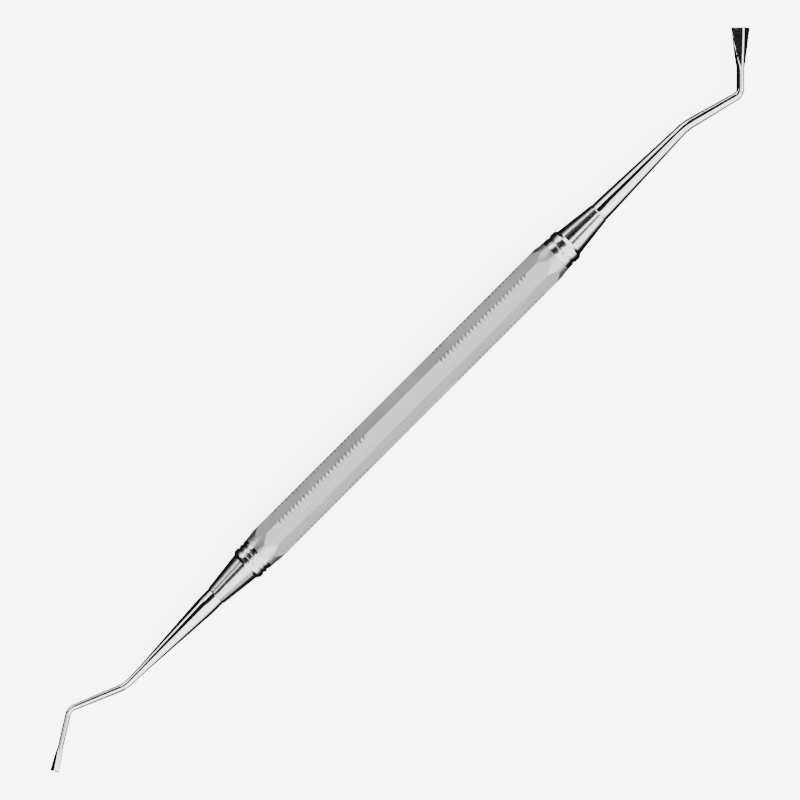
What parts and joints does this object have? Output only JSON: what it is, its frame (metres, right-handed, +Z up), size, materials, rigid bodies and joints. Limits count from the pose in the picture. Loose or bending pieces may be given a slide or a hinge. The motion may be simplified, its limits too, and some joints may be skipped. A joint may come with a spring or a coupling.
{
  "type": "double-ended dental plugger",
  "caption": "Double-ended dental plugger: octagonal hollow handle with a bent, tapered screw-in point at each end, one larger, each ending in a flat lozenge-shaped packing face.",
  "frame": {"origin": "middle of the handle's underside flat, on the surface that the instrument lies on", "axes": "+X along the handle towards the large end, +Z up; the points bend in planes parallel to XY"},
  "size_m": [0.1657, 0.0094, 0.0064],
  "materials": {
    "grip_steel": "satin",
    "nose_steel": "fine turned",
    "point_steel": "polished",
    "ring_rubber": "matte",
    "seal_rubber": "matte"
  },
  "bodies": {
    "handle": {"grip_tube": "grip_steel", "large_nose": "nose_steel", "small_nose": "nose_steel", "large_nose_ring": "ring_rubber", "small_nose_ring": "ring_rubber"},
    "large_seal": {"large_tang_seal": "seal_rubber"},
    "large_point": {"large_point": "point_steel"},
    "small_seal": {"small_tang_seal": "seal_rubber"},
    "small_point": {"small_point": "point_steel"}
  },
  "joints": [
    {"name": "large_screw_travel", "type": "slide", "parent": "handle", "child": "large_seal", "axis": [1, 0, 0], "range_m": [0, 0.0035]},
    {"name": "large_screw_turn", "type": "hinge", "parent": "large_seal", "child": "large_point", "pos_m": [0.044, 0, 0.0032], "axis": [1, 0, 0], "range_deg": [0, 3150]},
    {"name": "small_screw_travel", "type": "slide", "parent": "handle", "child": "small_seal", "axis": [-1, 0, 0], "range_m": [0, 0.0035]},
    {"name": "small_screw_turn", "type": "hinge", "parent": "small_seal", "child": "small_point", "pos_m": [-0.044, 0, 0.0032], "axis": [-1, 0, 0], "range_deg": [0, 3150]}
  ],
  "couplings": [
    {"joint": "large_screw_turn", "follows": "large_screw_travel", "rad_per_m": 15708},
    {"joint": "small_screw_turn", "follows": "small_screw_travel", "rad_per_m": 15708}
  ]
}
